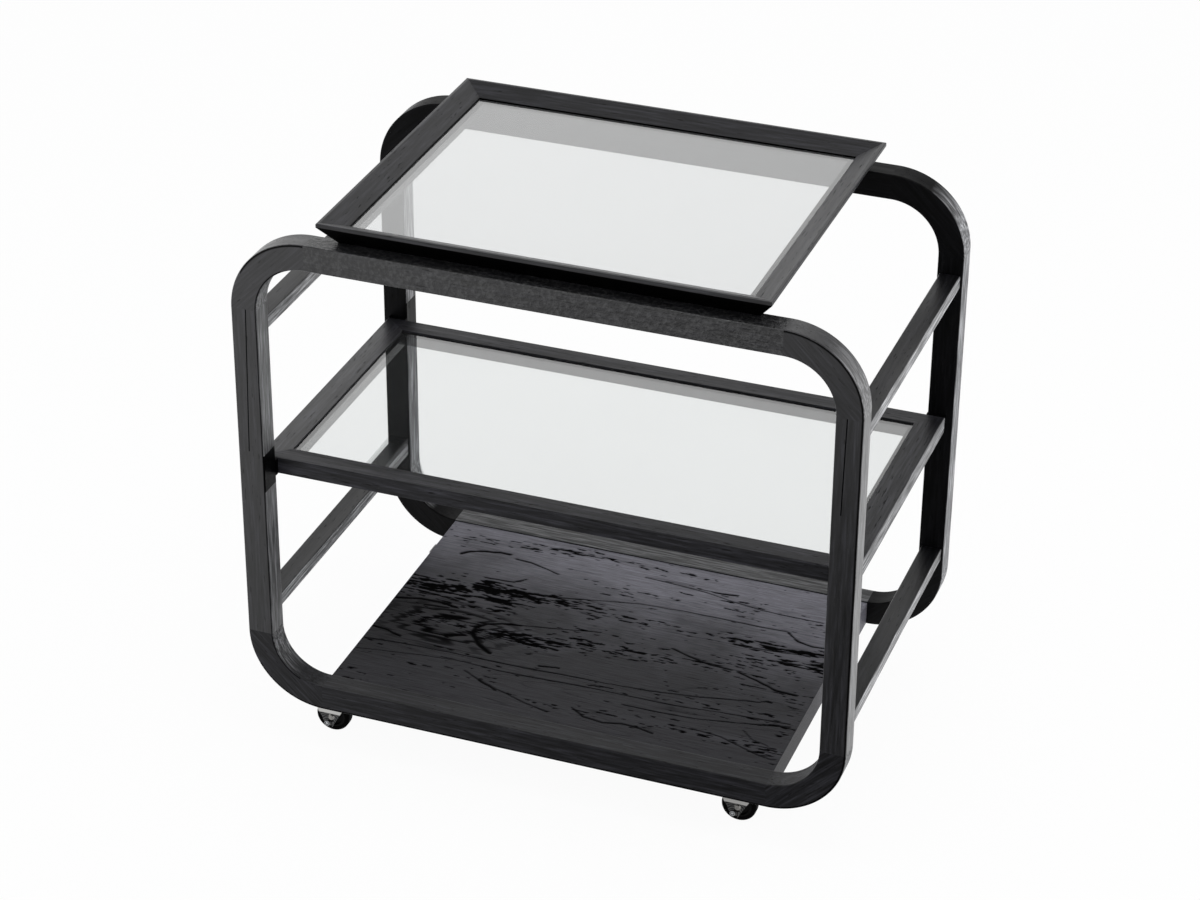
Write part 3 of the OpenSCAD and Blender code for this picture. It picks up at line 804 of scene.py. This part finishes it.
# %% Marks on the board
MILLIMETRE = 0.001
CRACKS = [
    (1.9, 1.0, [(-259, 130), (-249, 140), (-230, 147), (-209, 152), (-194, 152)]),
    (1.1, 0.9, [(-183, 145), (-161, 143), (-136, 135), (-114, 127)]),
    (1.7, 0.9, [(-205, 84), (-182, 85), (-163, 87), (-150, 100)]),
    (1.5, 1.0, [(-297, -5), (-266, 4), (-223, 7)]),
    (1.3, 0.8, [(-255, -8), (-222, -4)]),
    (1.8, 1.0, [(-299, -81), (-279, -83), (-255, -92)]),
    (0.9, 0.8, [(-110, 69), (-38, 86), (15, 98), (71, 101), (128, 101), (184, 101), (222, 103)]),
    (1.4, 1.0, [(223, 101), (242, 85), (263, 80), (281, 82)]),
    (0.9, 0.8, [(-1, 163), (51, 160), (88, 156), (126, 148), (171, 141), (214, 139), (259, 138)]),
    (1.4, 1.0, [(100, 160), (132, 164)]),
    (1.2, 0.9, [(125, 127), (151, 126)]),
    (1.4, 1.0, [(-115, -10), (-140, -14), (-160, -24)]),
    (2.6, 1.0, [(-160, -24), (-169, -36), (-169, -47), (-154, -67), (-140, -79), (-129, -85)]),
    (0.8, 0.8, [(-115, -10), (-62, 0), (-10, 12)]),
    (1.5, 1.0, [(-58, -91), (-31, -88)]),
    (0.8, 0.8, [(-297, -111), (-247, -107), (-177, -104), (-107, -102), (-38, -101), (31, -100),
                (85, -96), (163, -86), (239, -69)]),
    (0.8, 0.8, [(-186, -117), (-100, -120), (-17, -118), (65, -116), (146, -114), (224, -108), (289, -103)]),
    (0.8, 0.6, [(-297, -137), (-211, -124), (-144, -116)]),
    (1.2, 0.9, [(92, 9), (121, -2), (151, -11), (181, -12)]),
    (1.5, 1.0, [(191, -14), (218, -23), (249, -36), (277, -38)]),
    (1.1, 0.7, [(-144, -136), (-108, -155), (-76, -165), (-44, -177), (-10, -186)]),
    (1.8, 0.9, [(-118, -150), (-90, -163)]),
    (1.2, 0.8, [(17, -166), (37, -180), (65, -184), (89, -177), (114, -179), (132, -184)]),
    (0.9, 0.7, [(174, -156), (215, -160), (248, -173), (275, -183), (292, -186)]),
    (0.9, 0.6, [(237, -137), (254, -152), (275, -158), (291, -168)]),
    (0.8, 0.8, [(75, -137), (126, -136), (179, -133), (242, -121), (291, -109)]),
    (1.2, 0.8, [(173, 48), (214, 51), (253, 56), (287, 61)]),
]
TORN = [
    (34.0, 0.90, [(-296, 30), (-250, 34), (-205, 30), (-165, 32)]),
    (20.0, 0.95, [(-200, 60), (-146, 62), (-91, 62), (-31, 58), (10, 52)]),
    (16.0, 1.0, [(0, 55), (30, 52), (73, 50), (115, 50), (149, 58), (190, 62), (290, 64)]),
    (22.0, 0.95, [(-130, -32), (-95, -40), (-60, -42), (-30, -30), (0, -24), (40, -22), (90, -24)]),
    (24.0, 0.6, [(-260, -20), (-215, -28), (-182, -25)]),
    (30.0, 0.85, [(195, 28), (239, 26), (300, 28)]),
    (16.0, 0.45, [(-260, 167), (-190, 179), (-133, 184), (-80, 199)]),
    (8.0, 0.45, [(-136, 192), (-47, 192), (41, 189), (125, 194), (211, 192)]),
    (24.0, 0.45, [(20, -108), (90, -110), (200, -104), (290, -92)]),
    (20.0, 0.5, [(60, -150), (150, -160), (240, -165), (290, -175)]),
    (34.0, 0.45, [(-60, 8), (30, 4), (120, -12), (220, -34), (290, -50)]),
    (26.0, 0.28, [(-100, 112), (40, 118), (180, 124), (290, 126)]),
]
LEAF_REACH = 0.034
LEAF = [(-250, 118, 14), (-205, 115, 27), (-160, 112, 27), (-115, 104, 24), (-70, 114, 12)]
KNOT = (-0.205, -0.045)


def reach_of(points, x, y):
    best = np.full(x.shape, 9.0)
    for (x0, y0), (x1, y1) in zip(points, points[1:]):
        x0, y0, x1, y1 = (v * MILLIMETRE for v in (x0, y0, x1, y1))
        run = (x1 - x0) ** 2 + (y1 - y0) ** 2
        share = np.clip(((x - x0) * (x1 - x0) + (y - y0) * (y1 - y0)) / run, 0.0, 1.0)
        best = np.minimum(best, np.hypot(x - x0 - share * (x1 - x0), y - y0 - share * (y1 - y0)))
    return best


def streaks_of(x, lane, stretch, pitch, seed):
    return np.array([noise.noise(Vector((a * stretch, b * pitch, seed))) for a, b in zip(x, lane)])


print("cracks:", len(CRACKS), "torn bands:", len(TORN))

# %% [markdown]
# ## Where the fibres run
# Every point of the board's top gets a depth from 0 to 1. The fibres wander a little and
# bow round the knot, so the noise is read along that bent lane. A narrow rim stays
# flat, which keeps the board's edges straight.

# %% Lanes of the fibres
RIM = 0.0015
KNOT_HALF = (0.080, 0.046)
count = len(board.data.vertices)
flat = np.empty(count * 3)
board.data.vertices.foreach_get("co", flat)
points = flat.reshape(-1, 3)
inside = (points[:, 2] > board_high.z - 1e-6) & (np.abs(points[:, 0]) < board_high.x - RIM) \
    & (np.abs(points[:, 1]) < board_high.y - RIM)
x, y = points[inside, 0], points[inside, 1]
wander = 0.0022 * streaks_of(x, y, 9.0, 14.0, 0.3) + 0.0006 * streaks_of(x, y, 60.0, 40.0, 5.3)
knot_way = np.hypot((x - KNOT[0]) / KNOT_HALF[0], (y - KNOT[1]) / KNOT_HALF[1])
curl = np.exp(-knot_way ** 2)
lane = y + wander + 0.018 * curl * np.sign(y - KNOT[1]) * np.minimum(1.0, np.abs(y - KNOT[1]) / 0.012)
print("points on the top:", len(x))

# %% [markdown]
# ## How deep the grain is
# Two noises of different length make the flecks. The more a torn band covers a place, the
# more flecks pass the threshold and join up, and the leaf of hard wood holds them back.
# Then the year rings, the swirl of the knot and the cracks are cut in, and the deepest
# of them all counts.

# %% Depth of the grain
broad = streaks_of(x, lane, 9.0, 190.0, 4.1)
flecks = 0.8 * streaks_of(x, lane, 44.0, 270.0, 9.2) + 0.55 * streaks_of(x, lane, 110.0, 460.0, 1.7)
flecks = flecks / flecks.std() + 1.2 * broad
patch = streaks_of(x, lane, 5.0, 26.0, 7.7)
cover = np.clip(0.04 + 0.5 * patch, 0.0, 0.30)
for half, strength, marks in TORN:
    away = reach_of(marks, x, lane)
    cover = np.maximum(cover, strength * np.exp(-(away / (half * MILLIMETRE)) ** 2) * (0.85 + 0.8 * patch))
calm = np.zeros_like(x)
for leaf_x, leaf_y, leaf_r in LEAF:
    calm = np.maximum(calm, np.exp(-(((x - leaf_x * MILLIMETRE) / LEAF_REACH) ** 2
                                     + ((y - leaf_y * MILLIMETRE) / (leaf_r * MILLIMETRE)) ** 2) ** 2))
cover *= 1.0 - 0.95 * calm
depth = np.clip((flecks - 2.65 + 3.9 * cover) * 2.2, 0.0, 1.0)
rings = streaks_of(x, lane, 2.2, 34.0, 2.9) * 5.0
pencil = np.exp(-((rings - np.round(rings)) / 0.05) ** 2) * np.clip(0.5 + broad, 0.0, 1.0)
depth = np.maximum(depth, 0.30 * pencil * (1.0 - calm))
swirl = 0.5 + 0.5 * np.sin(knot_way * 17.0 + 4.0 * broad)
depth = np.maximum(depth, np.minimum(1.0, 1.4 * curl) * np.clip(swirl * 2.4 - 1.2, 0.0, 1.0) * (knot_way > 0.2))
for half, strength, marks in CRACKS:
    away = reach_of(marks, x, y + wander * 0.8)
    width = half * MILLIMETRE * (0.75 + 0.9 * np.clip(broad + 0.4, 0.0, 1.0))
    depth = np.maximum(depth, strength * np.clip(1.5 - away / width, 0.0, 1.0))
depths = np.zeros(count)
depths[inside] = depth
ridges = np.zeros(count)
ridges[inside] = np.clip(cover * 1.3 - 0.35, 0.0, 1.0) * (1.0 - depth)
print("share of the top that is open grain:", round(float((depth > 0.1).mean()), 3))

# %% [markdown]
# ## Pressing the grain in
# A Displace modifier presses the pits, with a weight on each vertex as its strength. The
# same depth is kept as an attribute, so that the finish can darken the pits, and so is
# the ridge between pits, which is rubbed a little paler.

# %% Press the grain in
PIT_DEPTH = 0.0008
group = board.vertex_groups.new(name="open grain")
for index in np.flatnonzero(depths > 0.0):
    group.add([int(index)], float(depths[index]), "REPLACE")
for label, values in (("pit", depths), ("ridge", ridges)):
    board.data.attributes.new(label, "FLOAT", "POINT")
    board.data.attributes[label].data.foreach_set("value", values)
sink = board.modifiers.new("sink", "DISPLACE")
sink.direction = "Z"
sink.mid_level = 0.0
sink.strength = -PIT_DEPTH
sink.vertex_group = "open grain"
bpy.ops.object.modifier_apply(modifier="sink")
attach(board, "frame")
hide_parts("bottom_board")
print("deepest pit in mm:", round(float(depths.max()) * PIT_DEPTH / MILLIMETRE, 2))

# %% [markdown]
# ## Board finish
# The raised fibres carry the lacquer and shine softly. The pits stay matt and nearly
# black, so the finish reads the same depth that the mesh was pressed with. The board is
# darker towards the left and front, and darkest at its left end.

# %% Board finish
DARKENING_SLOPE = (0.20, 1.45, 0.0)
DARKENING_STOPS = [(0.0, 0.138), (0.10, 0.145), (0.16, 0.210), (0.237, 0.42), (0.39, 0.97), (0.42, 1.0)]
FIBRE_STOPS = [(0.32, (0.100, 0.097, 0.112)), (0.50, (0.185, 0.180, 0.208)), (0.68, (0.262, 0.256, 0.295))]
LEFT_END_DARK = (0.004, 0.004, 0.005, 1.0)
RIDGE_TONE = (0.075, 0.073, 0.084, 1.0)
PIT_TONE = (0.0004, 0.0004, 0.0005, 1.0)
finish, tree, shader = new_finish("open_grain_timber")
place = add(tree, "ShaderNodeTexCoord").outputs["Object"]
fibre = noise_of(tree, mapped(tree, place, Scale=(0.05, 1.0, 1.0)), 620.0, 6.0, 0.7)
cloud = noise_of(tree, place, 9.0, 3.0, 0.6)
slope = measure(tree, "DOT_PRODUCT", place, DARKENING_SLOPE)
# darker towards the left and front
left_front_darkening = ramp(tree, math_of(tree, "MULTIPLY_ADD", cloud, 0.3, slope), DARKENING_STOPS)
board_tone = over(tree, 1.0, ramp(tree, fibre, FIBRE_STOPS), left_front_darkening, blend_type="MULTIPLY")
# darker still at the left end
left_end = mapped(tree, place, Location=(2.4, 0.1, 0.0), Scale=(8.5, 6.0, 0.0))
dark_end = ramp(tree, measure(tree, "LENGTH", left_end), [(0.0, 0.75), (0.9, 0.0)])
board_tone = over(tree, dark_end, board_tone, LEFT_END_DARK)
ridge = add(tree, "ShaderNodeAttribute", attribute_name="ridge").outputs["Fac"]
board_tone = over(tree, ridge, board_tone, RIDGE_TONE)
pit = add(tree, "ShaderNodeAttribute", attribute_name="pit").outputs["Fac"]
plug(tree, over(tree, pit, board_tone, PIT_TONE), shader.inputs["Base Color"])
plug(tree, pit, shader.inputs["Metallic"])
plug(tree, ranged(tree, pit, 0.0, 1.0, 0.46, 1.0), shader.inputs["Roughness"])
plug(tree, bump_of(tree, fibre, 0.5, 0.0004), shader.inputs["Normal"])
shader.inputs["Specular IOR Level"].default_value = 0.12
board.data.materials.append(finish)
dress("bottom_board", finish)
print("board finish:", len(tree.nodes), "nodes")

# %% [markdown]
# ## Finish
# The view transform is Standard, so a colour renders as it is written.

# %% Finish
bpy.context.scene.view_settings.view_transform = "Standard"
